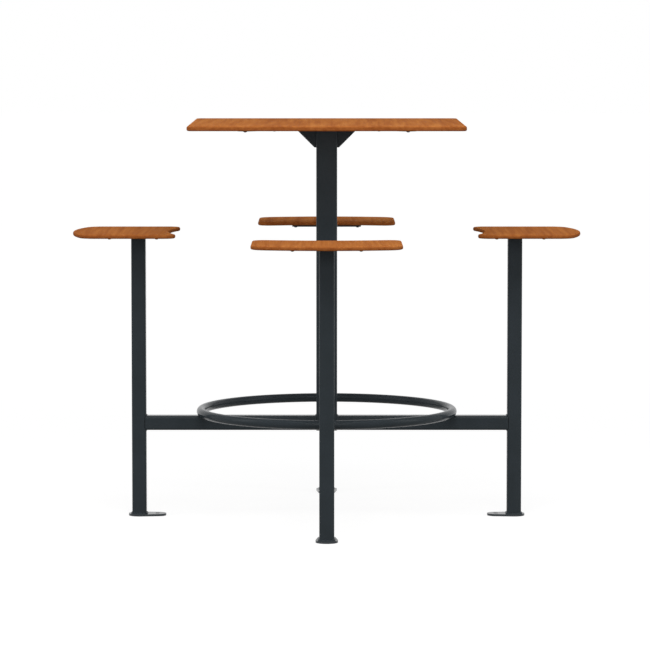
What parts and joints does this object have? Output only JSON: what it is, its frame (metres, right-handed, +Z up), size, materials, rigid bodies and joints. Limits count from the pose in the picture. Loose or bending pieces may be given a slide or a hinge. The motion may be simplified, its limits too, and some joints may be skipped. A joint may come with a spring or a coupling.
{
  "type": "table with attached swivel seats",
  "caption": "Square bar-height table with attached swivel seats on a welded square-tube frame with a round foot ring and bolt-down base plates.",
  "frame": {"origin": "on the floor, on the axis of the centre post", "axes": "+Z up; +X to the right and +Y to the back as the front seat's sitter faces the table"},
  "size_m": [1.407, 1.407, 1.098],
  "materials": {
    "table_board": "oiled hardwood boards, satin",
    "seat_board": "oiled hardwood boards, satin",
    "frame_paint": "anthracite powder coat, fine satin",
    "weld_bead": "powder coat over weld beads",
    "bolt_steel": "black zinc",
    "insert_brass": "machined",
    "turned_steel": "turned",
    "bush_plastic": "moulded",
    "cap_plastic": "moulded"
  },
  "bodies": {
    "frame": {"arm_back": "frame_paint", "arm_front": "frame_paint", "arm_left": "frame_paint", "arm_right": "frame_paint", "arm_root_welds": "weld_bead", "arm_welds": "weld_bead", "base_plate_back": "frame_paint", "base_plate_front": "frame_paint", "base_plate_left": "frame_paint", "base_plate_right": "frame_paint", "base_welds": "weld_bead", "centre_post": "frame_paint", "centre_post_cap": "cap_plastic", "foot_ring": "frame_paint", "head_gussets": "frame_paint", "head_plate": "frame_paint", "head_welds": "weld_bead", "retaining_screw_back": "bolt_steel", "retaining_screw_front": "bolt_steel", "retaining_screw_left": "bolt_steel", "retaining_screw_right": "bolt_steel", "ring_welds": "weld_bead", "seat_post_back": "frame_paint", "seat_post_front": "frame_paint", "seat_post_left": "frame_paint", "seat_post_right": "frame_paint", "swivel_bushes_back": "bush_plastic", "swivel_bushes_front": "bush_plastic", "swivel_bushes_left": "bush_plastic", "swivel_bushes_right": "bush_plastic", "swivel_housing_back": "frame_paint", "swivel_housing_front": "frame_paint", "swivel_housing_left": "frame_paint", "swivel_housing_right": "frame_paint", "table_bolts": "bolt_steel", "table_inserts": "insert_brass", "table_top": "table_board"},
    "seat_right": {"seat_bolts_right": "bolt_steel", "seat_inserts_right": "insert_brass", "seat_panel_right": "seat_board", "seat_plate_right": "frame_paint", "seat_spindle_right": "turned_steel"},
    "seat_back": {"seat_bolts_back": "bolt_steel", "seat_inserts_back": "insert_brass", "seat_panel_back": "seat_board", "seat_plate_back": "frame_paint", "seat_spindle_back": "turned_steel"},
    "seat_left": {"seat_bolts_left": "bolt_steel", "seat_inserts_left": "insert_brass", "seat_panel_left": "seat_board", "seat_plate_left": "frame_paint", "seat_spindle_left": "turned_steel"},
    "seat_front": {"seat_bolts_front": "bolt_steel", "seat_inserts_front": "insert_brass", "seat_panel_front": "seat_board", "seat_plate_front": "frame_paint", "seat_spindle_front": "turned_steel"}
  },
  "joints": [
    {"name": "seat_right_swivel", "type": "hinge", "parent": "frame", "child": "seat_right", "pos_m": [0.523, 0, 0.78], "axis": [0, 0, 1], "continuous": true},
    {"name": "seat_back_swivel", "type": "hinge", "parent": "frame", "child": "seat_back", "pos_m": [0, 0.523, 0.78], "axis": [0, 0, 1], "continuous": true},
    {"name": "seat_left_swivel", "type": "hinge", "parent": "frame", "child": "seat_left", "pos_m": [-0.523, 0, 0.78], "axis": [0, 0, 1], "continuous": true},
    {"name": "seat_front_swivel", "type": "hinge", "parent": "frame", "child": "seat_front", "pos_m": [0, -0.523, 0.78], "axis": [0, 0, 1], "continuous": true}
  ]
}
